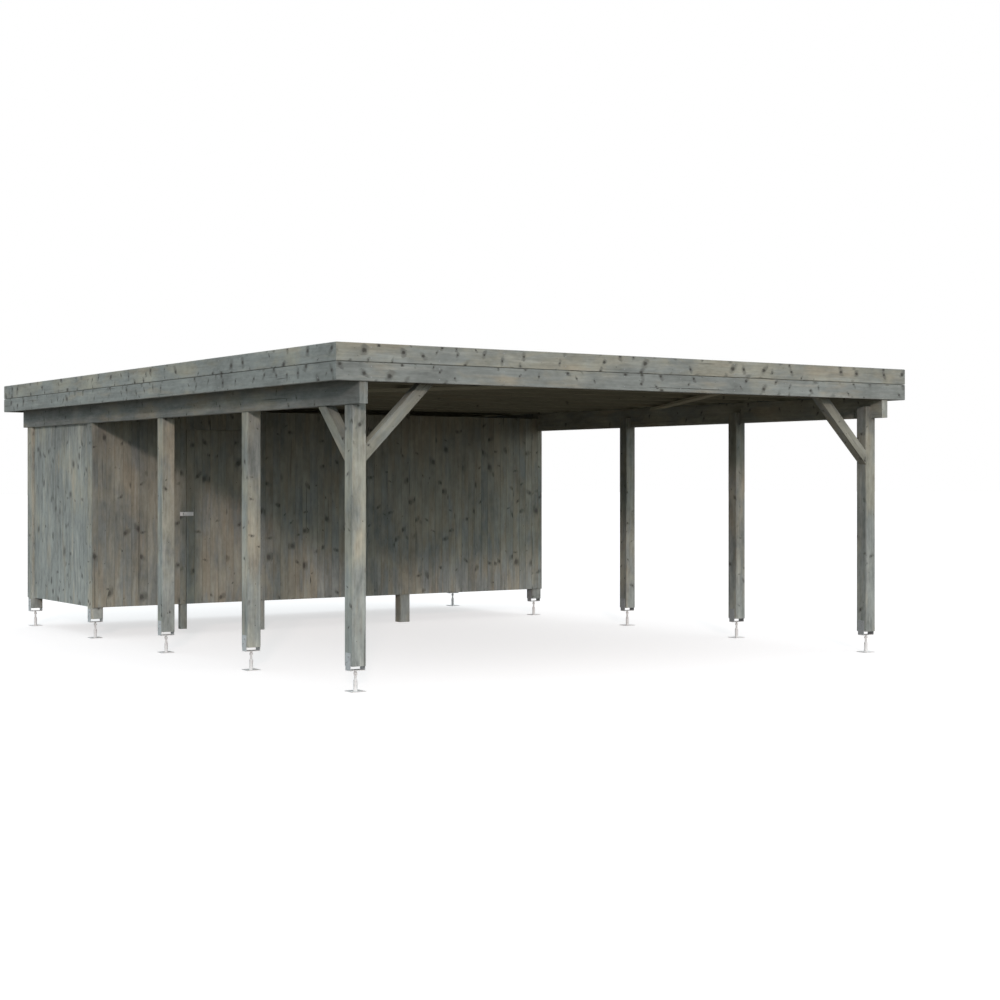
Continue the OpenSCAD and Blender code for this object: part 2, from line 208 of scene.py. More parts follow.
class CarportBoards(bpy.types.PropertyGroup):
    """Sizes of the boards and of their joints."""
    cover: length("Wall board", "Width that one wall board covers", 0.0885, 0.05, 0.2)
    roof_cover: length("Roof board", "Width that one roof board covers", 0.113, 0.05, 0.2)
    chamfer: length("Chamfer", "Chamfer along a board's edges", 0.0015, 0.0005, 0.006)
    joint: length("Joint", "Open joint between two boards", 0.0012, 0.0005, 0.004)
    tongue: length("Tongue", "Reach of a board's tongue", 0.006, 0.003, 0.01)
    uneven: length("Unevenness", "How far boards stand in or out of line", 0.0004, 0.0, 0.002)
    beam_play: length("Play at the beams", "Gap between wall boards and a beam", 0.002, 0.0, 0.01)
    door_boards: IntProperty(name="Door boards", description="Boards across the door leaf",
                             default=9, min=6, max=12)


class CarportFixings(bpy.types.PropertyGroup):
    """Sizes of threads, screws and felt."""
    thread_pitch: length("Thread pitch", "Pitch of the thread on a foot's rod", 0.0025, 0.001, 0.005)
    rod_radius: length("Rod radius", "Radius of a foot's rod", 0.009, 0.005, 0.015)
    neck_top: length("Neck", "Height where a foot's tube ends", 0.1005, 0.05, 0.2)
    nut_low: length("Nut, lower end", "Height of the nut's lower end", 0.1275, 0.05, 0.2)
    nut_high: length("Nut, upper end", "Height of the nut's upper end", 0.1445, 0.05, 0.2)
    shoe_low: length("Shoe", "Height of the shoe's underside", 0.1585, 0.05, 0.25)
    shoe_plate: length("Shoe plate", "Thickness of the shoe's plate", 0.0065, 0.003, 0.02)
    bolt_radius: length("Bolt head", "Radius of a bolt's washer", 0.0075, 0.003, 0.02)
    screw_radius: length("Screw head", "Radius of a screw's head", 0.0042, 0.002, 0.008)
    screw_pitch: length("Screw pitch", "Distance between screws along a fascia board", 0.595, 0.2, 1.0)
    screw_edge: length("Screw edge", "Distance of a screw from a board's edge", 0.03, 0.01, 0.05)
    felt_width: length("Felt width", "Width of a sheet of felt on the roof", 1.0, 0.5, 1.5)
    felt_lap: length("Felt step", "Height of the step where two sheets lap", 0.004, 0.001, 0.01)


class CarportColours(bpy.types.PropertyGroup):
    """Tones of the weathered timber, the steel and the felt."""
    silver: tone("Silver grey", "Palest tone of the timber", (0.43, 0.43, 0.385))
    olive: tone("Olive grey", "Main tone of the timber", (0.302, 0.299, 0.250))
    blue: tone("Blue grey", "Cool tone of the timber", (0.254, 0.272, 0.258))
    brown: tone("Brown grey", "Warm tone of the timber", (0.316, 0.284, 0.220))
    halo: tone("Halo", "Tone of the wood round a knot", (0.085, 0.085, 0.078))
    knot: tone("Knot", "Dark tone of the knots", (0.034, 0.031, 0.026))
    zinc: tone("Bright zinc", "Tone of the feet's spindles and plates", (0.83, 0.82, 0.81))
    # Painted light: the shoes on the left get a lighter zinc for sunlight, those on the right a darker one
    # for shade; the dark tone also serves the screws
    zinc_painted_sunlit: tone("Painted sunlit zinc", "Tone of the shoes on the left", (0.50, 0.535, 0.545))
    zinc_dull_and_painted_shade: tone("Dull zinc", "Tone of the shoes on the right and the screws", (0.34, 0.355, 0.36))
    felt: tone("Felt", "Tone of the roof felt", (0.085, 0.088, 0.092))


class CarportStage(bpy.types.PropertyGroup):
    """Camera and light."""
    lens: amount("Lens", "Focal length of the camera, in millimetres", 63.1, 20, 200)
    heading: angle("Heading", "Turn of the camera to the right of the depth", 33.886)
    eye: vector("Eye", "Place of the camera", (-9.162, -15.145, 1.607), "TRANSLATION")
    rise: amount("Shift", "Vertical shift of the camera, as a share of the image", -0.0215, -0.2, 0.2)
    sun: amount("Key light", "Strength of the key light", 1.0, 0, 10)
    sun_tone: tone("Key tone", "Colour of the key light", (1.0, 0.82, 0.77))
    sun_angle: angle("Softness", "Angular size of the key light", 4.5)
    sun_way: vector("Key direction", "The way the key light travels", (0.486, 0.824, -0.260), "DIRECTION")
    sky: amount("Sky", "Strength of the light from all round", 0.85, 0, 3)
    sky_tone: tone("Sky tone", "Colour of the light from all round", (0.77, 0.93, 1.0))
    glow: amount("Front light", "Strength of the wide light from the front", 1.32, 0, 3)
    glow_tone: tone("Front tone", "Colour of the wide light from the front", (0.92, 0.985, 1.0))
    glow_from: vector("Front direction", "Where the wide light stands", (0.20, -0.96, 0.20), "DIRECTION")
    ground: tone("Ground tone", "Colour that the floor throws back", (0.15, 0.125, 0.10))


# Shader expressions

def math_method(operation, swapped=False):
    """The method of an operator, which adds a Math node."""
    def method(self, *other):
        values = (*other, self) if swapped else (self, *other)
        return self.tree.math(operation, *values)
    return method


class Value:
    """A shader socket; operators on it add Math nodes."""

    def __init__(self, tree, socket):
        self.tree = tree
        self.socket = socket

    __add__ = math_method("ADD")
    __radd__ = math_method("ADD", swapped=True)
    __sub__ = math_method("SUBTRACT")
    __rsub__ = math_method("SUBTRACT", swapped=True)
    __mul__ = math_method("MULTIPLY")
    __truediv__ = math_method("DIVIDE")
    __pow__ = math_method("POWER")
    __gt__ = math_method("GREATER_THAN")
    __lt__ = math_method("LESS_THAN")
    __abs__ = math_method("ABSOLUTE")


class Nodes:
    """A node tree to build. Each kind has its own node(), which adds a node and gives its outputs."""

    def __init__(self, group):
        self.nodes = group.nodes
        self.links = group.links

    def add(self, kind, settings=None, sockets=None):
        """Adds a node: its settings first, then the values or links of its sockets."""
        made = self.nodes.new(kind)
        for key, value in (settings or {}).items():
            setattr(made, key, value)
        for key, value in (sockets or {}).items():
            source = value.socket if isinstance(value, Value) else value
            if isinstance(source, bpy.types.NodeSocket):
                self.links.new(source, made.inputs[key])
            else:
                made.inputs[key].default_value = source
        return made

    def math(self, operation, *values):
        return self.node("ShaderNodeMath", {"operation": operation}, dict(enumerate(values)))[0]

    def xyz(self, x, y, z):
        return self.node("ShaderNodeCombineXYZ", None, {0: x, 1: y, 2: z})[0]


class Outputs:
    """The outputs of one shader node, by name or number."""

    def __init__(self, tree, node):
        self.tree = tree
        self.node = node

    def __getitem__(self, key):
        return Value(self.tree, self.node.outputs[key])


class Shader(Nodes):
    """The shader of a material or of the world."""

    def __init__(self, owner):
        owner.use_nodes = True
        super().__init__(owner.node_tree)
        self.owner = owner
        self.nodes.clear()

    def node(self, kind, settings=None, sockets=None):
        return Outputs(self, self.add(kind, settings, sockets))

    def vector(self, operation, *values):
        found = self.node("ShaderNodeVectorMath", {"operation": operation}, dict(enumerate(values)))
        return found["Value" if operation == "DOT_PRODUCT" else "Vector"]

    def dot(self, first, second):
        return self.vector("DOT_PRODUCT", first, tuple(second))

    def parts(self, vector):
        found = self.node("ShaderNodeSeparateXYZ", None, {0: vector})
        return found[0], found[1], found[2]

    def noise(self, place, detail=3.0, roughness=0.55, distortion=0.0, scale=1.0):
        return self.node("ShaderNodeTexNoise", {"noise_dimensions": "3D"},
                         {"Vector": place, "Scale": scale, "Detail": detail, "Roughness": roughness,
                          "Distortion": distortion})["Fac"]

    def cells(self, place, scale=1.0, dimensions="3D"):
        return self.node("ShaderNodeTexVoronoi", {"voronoi_dimensions": dimensions, "feature": "F1"},
                         {"Vector": place, "Scale": scale, "Randomness": 1.0})

    def chances(self, cells):
        """Three random numbers for each cell."""
        found = self.node("ShaderNodeSeparateColor", None, {0: cells["Color"]})
        return found[0], found[1], found[2]

    def step(self, value, low, high):
        """0 below low, 1 above high, smooth between; low may be the greater of the two."""
        return self.node("ShaderNodeMapRange", {"interpolation_type": "SMOOTHSTEP", "clamp": True},
                         {"Value": value, "From Min": low, "From Max": high,
                          "To Min": 0.0, "To Max": 1.0})[0]

    def mix(self, factor, first, second, blend="MIX"):
        """Mixes two colours, each a socket or a plain tone."""
        first, second = [shade if isinstance(shade, Value) else (*shade, 1.0) for shade in (first, second)]
        return self.node("ShaderNodeMix", {"data_type": "RGBA", "blend_type": blend},
                         {0: factor, 6: first, 7: second})[2]

    def blend(self, share, first, second):
        """Mixes two surfaces or two backgrounds."""
        return self.node("ShaderNodeMixShader", None, {0: share, 1: first, 2: second})[0]

    def grey(self, value):
        return self.node("ShaderNodeCombineColor", None, {0: value, 1: value, 2: value})[0]

    def seen(self):
        """1 for rays that show the backdrop itself, straight or in a reflection."""
        path = self.node("ShaderNodeLightPath")
        direct = self.math("MAXIMUM", path["Is Camera Ray"], path["Is Glossy Ray"])
        return self.math("MAXIMUM", direct, path["Is Transmission Ray"])

    def surface(self, sockets, bump=None, bump_depth=0.001):
        if bump is not None:
            normal = self.node("ShaderNodeBump", None,
                               {"Strength": 1.0, "Distance": bump_depth, "Height": bump})
            sockets = {**sockets, "Normal": normal[0]}
        shader = self.node("ShaderNodeBsdfPrincipled", None, sockets)
        self.node("ShaderNodeOutputMaterial", None, {"Surface": shader["BSDF"]})
        return self.owner


# Finishes

class Pattern(NamedTuple):
    """A noise on timber."""
    wide: float                  # features to the metre across the grain
    long: float                  # and along it
    salt: float                  # place in the noise, so that no two patterns are alike
    detail: float
    roughness: float = 0.55
    distortion: float = 0.0
    edge: tuple = (0.0, 1.0)     # values of the noise between which a mark fades in


FINE = Pattern(190.0, 6.0, 1.0, 2.0, 0.6)
STREAK = Pattern(44.0, 2.0, 2.0, 4.0, 0.62, 0.3)
PATCH = Pattern(11.0, 2.6, 3.0, 4.0, 0.60, 0.25)
MOTTLE = Pattern(38.0, 16.0, 4.0, 3.0, 0.60)
RAGGED = Pattern(80.0, 70.0, 5.0, 2.0)
TORN = Pattern(55.0, 45.0, 8.0, 3.0)
STAIN = Pattern(5.5, 1.7, 7.0, 4.0, 0.62, 0.5, edge=(0.40, 0.66))
WARMTH = Pattern(9.0, 1.5, 9.0, 3.0, edge=(0.53, 0.76))
PALE = Pattern(17.0, 1.8, 11.0, 4.0, 0.6, 0.3, edge=(0.52, 0.74))
CRACK = Pattern(62.0, 0.9, 13.0, 1.0, 0.4, 0.4, edge=(0.735, 0.775))
BROAD_SCALE = 1.5

# Shifts, in metres, that keep the grain of one piece from running on in the next
MIRROR_SHIFT = 5.3
UPPER_SHIFT = 13.7
BOARD_SHIFTS = (1.7, 31.0)

# How fast noises and the lattice of knots change into the depth
DEPTH_RATE = 6.0
KNOT_DEPTH_RATES = (23.7, 11.3)

# A face is a sawn end where its normal follows the grain this closely
SAWN_END = 0.8

# Two ways are square to each other where their product is below this
SQUARE = 1e-6

# Knots, wings and flecks: weights that make them longer than wide, how far their edges are torn in
# metres, and the radii, as shares of a knot's own, between which they fade in
KNOT_STRETCH = 0.7
KNOT_TEAR = 0.018
KNOT_FADE = (1.25, 0.40)
WING_STRETCH = 0.17
WING_SHIFT = 1.5
WING_TEAR = 0.032
WING_FADE = (2.6, 0.6)
FLECKS = {"cell": (0.05, 0.17), "share": 0.25, "sizes": (0.0015, 0.004), "salt": 4.3}
FLECK_STRETCH = 0.3
FLECK_FADE = (1.2, 0.6)
GRAIN_BEND = 0.55

# How strongly each tone covers the one before
BROWN_SHARE = 0.75
SILVER_SHARE = 0.5
HALO_SHARE = 0.52
FLECK_SHARE = 0.75
CRACK_SHARE = 0.6

# Differences from place to place: lower fascia boards, painted sky light on timber near the ground, one
# board from the next
LOWER_COOL = 0.20
LOWER_DARK = 0.06
PAINTED_SKY_HEIGHTS = (1.5, 0.25)
PAINTED_SKY_COOL = 0.13
BOARD_SPREAD = 0.12

# Rings on sawn ends, in radians to the metre, and how pale such an end is
RING_RATE = 1500.0
RING_WAVER = 0.02
RING_DEPTH = 0.10
SAWN_LIGHT = 1.20
GRAIN_DEPTH = 0.0012


class Knots(NamedTuple):
    """The knot nearest to a place: the way from its middle, its radius, whether it is there, its slant."""
    right: Value
    up: Value
    radius: Value
    present: Value
    slant: Value


class Grain:
    """Places on the faces of a timber: across its grain, along it and into the depth."""

    def __init__(self, shader, grain, boards=False, mirrored=False, split=None):
        way = Vector(grain).normalized()
        side = next(axis for axis in AXES if abs(axis.dot(way)) < SQUARE)
        other = way.cross(side)
        coords = shader.node("ShaderNodeTexCoord")
        place, normal = coords["Object"], coords["Normal"]
        x, y, z = shader.parts(place)
        if mirrored:
            place = shader.xyz(abs(x), y, z)
        first, second = shader.dot(place, side), shader.dot(place, other)
        turned = abs(shader.dot(normal, side)) > abs(shader.dot(normal, other))
        self.shader = shader
        self.place = place
        self.height = z
        self.across = first + (second - first) * turned
        self.depth = second + (first - second) * turned
        self.along = shader.dot(place, way)
        self.end = abs(shader.dot(normal, way)) > SAWN_END
        self.upper = None
        self.own = None
        if mirrored:
            self.along = self.along + (x > 0.0) * MIRROR_SHIFT
        if split is not None:
            self.upper = z > split
            self.along = self.along + self.upper * UPPER_SHIFT
        if boards:
            board = shader.node("ShaderNodeAttribute", {"attribute_name": "board"})["Vector"]
            self.own = shader.parts(board)
            self.along = self.along + self.own[2] * BOARD_SHIFTS[1]
            self.across = self.across + self.own[1] * BOARD_SHIFTS[0]

    def noise(self, pattern):
        """A pattern's noise, 0.5 on average."""
        place = self.shader.xyz(self.across * pattern.wide, self.along * pattern.long,
                                self.depth * DEPTH_RATE + pattern.salt)
        return self.shader.noise(place, pattern.detail, pattern.roughness, pattern.distortion)

    def mark(self, pattern, lean=0.0):
        """0 to 1 as a pattern's noise, with a lean, passes the pattern's edge."""
        return self.shader.step(self.noise(pattern) + lean, *pattern.edge)

    def knots(self, cell, share, sizes, salt=0.0):
        """One knot in a share of the cells of a stretched lattice."""
        shader = self.shader
        wide, long = cell
        least, most = sizes
        place = shader.xyz(self.across / wide + self.depth * KNOT_DEPTH_RATES[0] + salt,
                           self.along / long + self.depth * KNOT_DEPTH_RATES[1] + salt, 0.0)
        cells = shader.cells(place, dimensions="2D")
        right, up, _ = shader.parts(shader.vector("SUBTRACT", place, cells["Position"]))
        chance, size, lean = shader.chances(cells)
        radius = least + size ** 2.0 * (most - least)
        return Knots(right * wide, up * long, radius, chance < share, lean * 2.0 - 1.0)

    def fade(self, reach, knot, radii):
        """0 to 1 as reach passes from the first of two radii round a knot to the second."""
        return self.shader.step(reach, knot.radius * radii[0], knot.radius * radii[1]) * knot.present


def knot_marks(wood, knot):
    """The dark middle of the knots, the wings that slant away from them, and small flecks."""
    reach = (knot.right * knot.right + knot.up * knot.up * KNOT_STRETCH) ** 0.5
    core = wood.fade(reach + (wood.noise(RAGGED) - 0.5) * KNOT_TEAR, knot, KNOT_FADE)
    out = knot.right + knot.up * knot.slant - knot.radius * knot.slant * WING_SHIFT
    over = knot.up - knot.right * knot.slant
    trail = (out * out * WING_STRETCH + over * over) ** 0.5
    halo = wood.fade(trail + (wood.noise(TORN) - 0.5) * WING_TEAR, knot, WING_FADE)
    dot = wood.knots(**FLECKS)
    fleck = wood.fade((dot.right * dot.right + dot.up * dot.up * FLECK_STRETCH) ** 0.5, dot, FLECK_FADE)
    return core, halo, fleck


def weathered_timber(name, grain, look, **faces):
    """Planed softwood gone grey: stains, streaks, knots with the grain round them, and drying cracks."""
    tones = bpy.context.scene.carport_colours
    shader = Shader(bpy.data.materials.new(name))
    wood = Grain(shader, grain, **faces)
    knot = wood.knots(look.cell, look.knots, look.knot)
    core, halo, fleck = knot_marks(wood, knot)

    # Grain that bends round the knots
    wood.across = wood.across - knot.right * halo * GRAIN_BEND
    fine, streak, patch, mottle = [wood.noise(kind) - 0.5 for kind in (FINE, STREAK, PATCH, MOTTLE)]
    broad = shader.noise(wood.place, 3.0, 0.55, 0.6, BROAD_SCALE) - 0.5

    # How cool and how light each place is
    cool = look.cool - broad * 0.5
    light = 1.0 + (streak * 0.70 + patch * 1.10 + mottle * 0.55 + broad + fine * 0.30) * look.uneven
    if wood.upper is not None:
        lower = 1.0 - wood.upper
        cool = cool + lower * LOWER_COOL
        light = light * (1.0 - lower * LOWER_DARK)
    # Painted sky light: lighter and cooler towards the ground
    if look.low:
        foot = shader.step(wood.height, *PAINTED_SKY_HEIGHTS)
        cool = cool + foot * PAINTED_SKY_COOL
        light = light * (1.0 + foot * look.low)
    if wood.own:
        light = light * (1.0 + (wood.own[0] - 0.5) * BOARD_SPREAD)

    # Tones, one over the other
    crack = wood.mark(CRACK)
    colour = shader.mix(wood.mark(STAIN, cool), tones.olive, tones.blue)
    warm = wood.mark(WARMTH, broad * 0.5 + look.warm)
    colour = shader.mix(warm * BROWN_SHARE, colour, tones.brown)
    colour = shader.mix(wood.mark(PALE) * (SILVER_SHARE * look.uneven), colour, tones.silver)
    colour = shader.mix(1.0, colour, shader.grey(light * look.light), "MULTIPLY")
    colour = shader.mix(halo * HALO_SHARE, colour, tones.halo)
    for mark in (core * look.dark, fleck * FLECK_SHARE, crack * CRACK_SHARE):
        colour = shader.mix(mark, colour, tones.knot)

    # Rings on the sawn ends
    ring = shader.math("SINE", (wood.across + patch * RING_WAVER) * RING_RATE)
    sawn = shader.mix(1.0, colour, shader.grey(SAWN_LIGHT + ring * RING_DEPTH), "MULTIPLY")
    colour = shader.mix(wood.end, colour, sawn)

    height = fine * 0.35 + streak * 0.6 - core * 0.4 - crack * 1.2
    rough = 0.74 + fine * 0.16 - core * 0.10
    return shader.surface({"Base Color": colour, "Roughness": rough, "Specular IOR Level": look.gloss},
                          height, GRAIN_DEPTH)


# Features to the metre, and depths, of the coats on steel and roof
SPANGLE_SCALE = 95.0
FILM_SCALE = 28.0
FILM_DEPTH = 0.0004
GRIT_SCALE = 420.0
WASH_SCALE = 1.6
GRIT_DEPTH = 0.0012
GRIT_LIGHT = 1.9


def zinc_coat(name, coat, bright_below=None):
    """Zinc: softly shiny, with spangle and a film; bright below a height."""
    tones = bpy.context.scene.carport_colours
    shader = Shader(bpy.data.materials.new(name))
    place = shader.node("ShaderNodeTexCoord")["Object"]
    tint = shader.chances(shader.cells(place, SPANGLE_SCALE))[0]
    film = shader.noise(place, 4.0, 0.6, 0.3, FILM_SCALE)
    colour = coat
    if bright_below is not None:
        colour = shader.mix(shader.parts(place)[2] < bright_below, colour, tones.zinc)
    colour = shader.mix(1.0, colour, shader.grey(1.06 - tint * 0.10 - film * 0.12), "MULTIPLY")
    rough = 0.38 + film * 0.20 + tint * 0.10
    return shader.surface({"Base Color": colour, "Roughness": rough, "Metallic": 0.15},
                          film * 0.6 + tint * 0.2, FILM_DEPTH)


def mineral_felt(name):
    """Dark bitumen felt with a mineral grit."""
    tones = bpy.context.scene.carport_colours
    shader = Shader(bpy.data.materials.new(name))
    place = shader.node("ShaderNodeTexCoord")["Object"]
    grit = shader.cells(place, GRIT_SCALE)
    stone = shader.chances(grit)[0]
    wash = shader.noise(place, 5.0, 0.6, 0.5, WASH_SCALE)
    pale = tuple(part * GRIT_LIGHT for part in tones.felt)
    colour = shader.mix(stone * 0.55 + shader.step(wash, 0.45, 0.7) * 0.35, tones.felt, pale)
    return shader.surface({"Base Color": colour, "Roughness": 0.88 + wash * 0.08},
                          grit["Distance"], GRIT_DEPTH)


# Meshes and node trees

def corners(node):
    """The lower and the upper corner of a CAD node's box."""
    low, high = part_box(node)
    return Vector(low), Vector(high)


def mesh_object(name, mesh):
    made = bpy.data.objects.new(name, mesh)
    bpy.context.scene.collection.objects.link(made)
    return made


def flat_mesh(name, points, faces=()):
    mesh = bpy.data.meshes.new(name)
    mesh.from_pydata([tuple(point) for point in points], [], [tuple(face) for face in faces])
    mesh.update()
    return mesh


def swept_mesh(name, outline, reach, place):
    """An outline swept over reach; place turns a point of the outline and a distance into a corner."""
    count = len(outline)
    shape = bmesh.new()
    near = [shape.verts.new(place(a, b, 0.0)) for a, b in outline]
    far = [shape.verts.new(place(a, b, reach)) for a, b in outline]
    shape.faces.new(near)
    shape.faces.new(far)
    for i in range(count):
        following = (i + 1) % count
        shape.faces.new((near[i], near[following], far[following], far[i]))
    bmesh.ops.recalc_face_normals(shape, faces=shape.faces)
    bmesh.ops.triangulate(shape, faces=[face for face in shape.faces if len(face.verts) > 4])
    mesh = bpy.data.meshes.new(name)
    shape.to_mesh(mesh)
    shape.free()
    return mesh


def board_mesh(name, width, thickness, boards):
    """One board, a metre tall: chamfered face at y = 0, a tongue on its right, a groove on its left."""
    right = width - boards.joint
    tongue_low, tongue_high = thickness * TONGUE_FROM, thickness * TONGUE_TO
    slack = boards.joint / 3
    outline = [
        (boards.chamfer, 0), (right - boards.chamfer, 0), (right, boards.chamfer), (right, tongue_low),
        (right + boards.tongue, tongue_low), (right + boards.tongue, tongue_high), (right, tongue_high),
        (right, thickness), (0, thickness), (0, tongue_high + slack), (boards.tongue, tongue_high + slack),
        (boards.tongue, tongue_low - slack), (0, tongue_low - slack), (0, boards.chamfer)]
    return swept_mesh(name, outline, 1.0, lambda x, y, z: (x, y, z))


def felt_mesh(width, pitch, step):
    """One sheet of felt: thin at its near edge, with a rounded bead where it laps over the next."""
    bead = step * 2.0
    outline = [(0.0, 0.0), (pitch, 0.0), (pitch, step), (pitch - bead, step * 1.25),
               (pitch - 3 * bead, step), (0.0, step * 0.35)]
    return swept_mesh("felt_sheet", outline, width, lambda y, z, x: (x, y, z))


FLOAT = "NodeSocketFloat"
INTEGER = "NodeSocketInt"
VECTOR = "NodeSocketVector"
ROTATION = "NodeSocketRotation"
MATERIAL = "NodeSocketMaterial"


class Tree(Nodes):
    """A Geometry Nodes tree with named inputs."""

    def __init__(self, name, inputs):
        self.group = bpy.data.node_groups.new(name, "GeometryNodeTree")
        super().__init__(self.group)
        self.group.is_modifier = True
        self.group.interface.new_socket("Geometry", in_out="INPUT", socket_type="NodeSocketGeometry")
        for label, kind in inputs.items():
            self.group.interface.new_socket(label, in_out="INPUT", socket_type=kind)
        self.group.interface.new_socket("Geometry", in_out="OUTPUT", socket_type="NodeSocketGeometry")
        self.source = self.nodes.new("NodeGroupInput")

    def __getitem__(self, label):
        return self.source.outputs[label]

    def node(self, kind, settings=None, sockets=None):
        return self.add(kind, settings, sockets).outputs

    def either(self, test, no, yes):
        """no where test is 0, yes where it is 1."""
        return self.node("ShaderNodeMix", {"data_type": "FLOAT"}, {0: test, 2: no, 3: yes})[0]

    def joined(self, *parts):
        made = self.nodes.new("GeometryNodeJoinGeometry")
        for part in parts:
            self.links.new(part, made.inputs[0])
        return made.outputs[0]

    def finish(self, geometry, material):
        """Realizes the instances, sets the material and joins the output."""
        solid = self.node("GeometryNodeRealizeInstances", None, {0: geometry})[0]
        dressed = self.node("GeometryNodeSetMaterial", None, {"Geometry": solid, "Material": material})[0]
        self.add("NodeGroupOutput", None, {0: dressed})
        return self.group


def run_tree(name, mesh, group, values):
    """Runs a tree on a mesh and keeps the result as a plain mesh object."""
    source = mesh_object(name + "_source", mesh)
    modifier = source.modifiers.new("Nodes", "NODES")
    modifier.node_group = group
    for item in group.interface.items_tree:
        if item.item_type == "SOCKET" and item.in_out == "INPUT" and item.name in values:
            modifier[item.identifier] = values[item.name]
    graph = bpy.context.evaluated_depsgraph_get()
    made = bpy.data.meshes.new_from_object(source.evaluated_get(graph), preserve_all_data_layers=True,
                                           depsgraph=graph)
    source.modifiers.remove(modifier)
    bpy.data.objects.remove(source)
    made.name = name
    return mesh_object(name, made)


def board_row_tree():
    """A row of boards along +X: the first and last are ripped to fit, and may end lower than the rest."""
    tree = Tree("Board row", {
        "Count": INTEGER, "Cover": FLOAT, "First": FLOAT, "Width": FLOAT, "Height": FLOAT,
        "First height": FLOAT, "Last height": FLOAT, "Uneven": FLOAT, "Turn": ROTATION, "Corner": VECTOR,
        "Seed": INTEGER, "Material": MATERIAL})
    index = tree.node("GeometryNodeInputIndex")[0]
    is_first = tree.math("LESS_THAN", index, 0.5)
    is_last = tree.math("GREATER_THAN", index, tree.math("SUBTRACT", tree["Count"], 1.5))
    regular = tree.math("MULTIPLY_ADD", tree.math("SUBTRACT", index, 1.0), tree["Cover"], tree["First"])
    start = tree.either(is_first, regular, 0.0)
    width = tree.either(is_first, tree["Cover"], tree["First"])
    width = tree.either(is_last, width, tree.math("SUBTRACT", tree["Width"], start))
    height = tree.either(is_first, tree["Height"], tree["First height"])
    height = tree.either(is_last, height, tree["Last height"])
    jitter = tree.node("FunctionNodeRandomValue", {"data_type": "FLOAT"},
                       {"Min": -1.0, "Max": 1.0, "ID": index, "Seed": tree["Seed"]})[1]
    depth = tree.math("MULTIPLY", jitter, tree["Uneven"])
    points = tree.node("GeometryNodeMeshLine", None, {"Count": tree["Count"], "Offset": (0.0, 0.0, 0.0)})[0]
    placed = tree.node("GeometryNodeSetPosition", None,
                       {"Geometry": points, "Position": tree.xyz(start, depth, 0.0)})[0]
    scale = tree.xyz(tree.math("DIVIDE", width, tree["Cover"]), 1.0, height)
    boards = tree.node("GeometryNodeInstanceOnPoints", None,
                       {"Points": placed, "Instance": tree["Geometry"], "Scale": scale})[0]
    own = tree.node("FunctionNodeRandomValue", {"data_type": "FLOAT_VECTOR"},
                    {"ID": index, "Seed": tree.math("ADD", tree["Seed"], TONE_SEED)})[0]
    toned = tree.node("GeometryNodeStoreNamedAttribute",
                      {"data_type": "FLOAT_VECTOR", "domain": "INSTANCE"},
                      {"Geometry": boards, "Name": "board", "Value": own})[0]
    turned = tree.node("GeometryNodeTransform", None,
                       {"Geometry": toned, "Rotation": tree["Turn"], "Translation": tree["Corner"]})[0]
    return tree.finish(turned, tree["Material"])


def thread_tree():
    """A helix of thread at every point of the mesh."""
    tree = Tree("Rod thread", {"Radius": FLOAT, "Pitch": FLOAT, "Length": FLOAT, "Material": MATERIAL})
    turns = tree.math("DIVIDE", tree["Length"], tree["Pitch"])
    helix = tree.node("GeometryNodeCurveSpiral", None, {
        "Resolution": 14, "Rotations": turns, "Start Radius": tree["Radius"], "End Radius": tree["Radius"],
        "Height": tree["Length"]})[0]
    profile = tree.node("GeometryNodeCurvePrimitiveCircle", {"mode": "RADIUS"},
                        {"Resolution": 4, "Radius": tree.math("MULTIPLY", tree["Pitch"], 0.42)})[0]
    thread = tree.node("GeometryNodeCurveToMesh", None,
                       {"Curve": helix, "Profile Curve": profile, "Fill Caps": True})[0]
    points = tree.node("GeometryNodeMeshToPoints", None, {"Mesh": tree["Geometry"]})[0]
    threads = tree.node("GeometryNodeInstanceOnPoints", None, {"Points": points, "Instance": thread})[0]
    return tree.finish(threads, tree["Material"])


def head_tree(name, bolts):
    """A screw's or a bolt's head at every point of the mesh, turned from -Y by the point's own turn."""
    tree = Tree(name, {"Radius": FLOAT, "Material": MATERIAL})

    def disc(vertices, low, high, depth, rise=0.0):
        """A disc whose sizes are shares of the radius."""
        made = tree.node("GeometryNodeMeshCone", {"fill_type": "NGON"}, {
            "Vertices": vertices, "Radius Top": tree.math("MULTIPLY", tree["Radius"], high),
            "Radius Bottom": tree.math("MULTIPLY", tree["Radius"], low),
            "Depth": tree.math("MULTIPLY", tree["Radius"], depth)})[0]
        lift = tree.xyz(0.0, 0.0, tree.math("MULTIPLY", tree["Radius"], rise))
        return tree.node("GeometryNodeTransform", None, {"Geometry": made, "Translation": lift})[0]

    if bolts:
        washer = disc(16, low=1.0, high=0.95, depth=0.16)
        head = tree.joined(washer, disc(6, low=0.62, high=0.58, depth=0.55, rise=0.16))
    else:
        head = disc(10, low=1.0, high=0.62, depth=0.30)
    to_front = Euler((pi / 2, 0.0, 0.0))
    facing = tree.node("GeometryNodeTransform", None, {"Geometry": head, "Rotation": to_front})[0]
    points = tree.node("GeometryNodeMeshToPoints", None, {"Mesh": tree["Geometry"]})[0]
    turn = tree.node("GeometryNodeInputNamedAttribute", {"data_type": "FLOAT_VECTOR"}, {"Name": "turn"})[0]
    rotation = tree.node("FunctionNodeEulerToRotation", None, {0: turn})[0]
    heads = tree.node("GeometryNodeInstanceOnPoints", None,
                      {"Points": points, "Instance": facing, "Rotation": rotation})[0]
    return tree.finish(heads, tree["Material"])


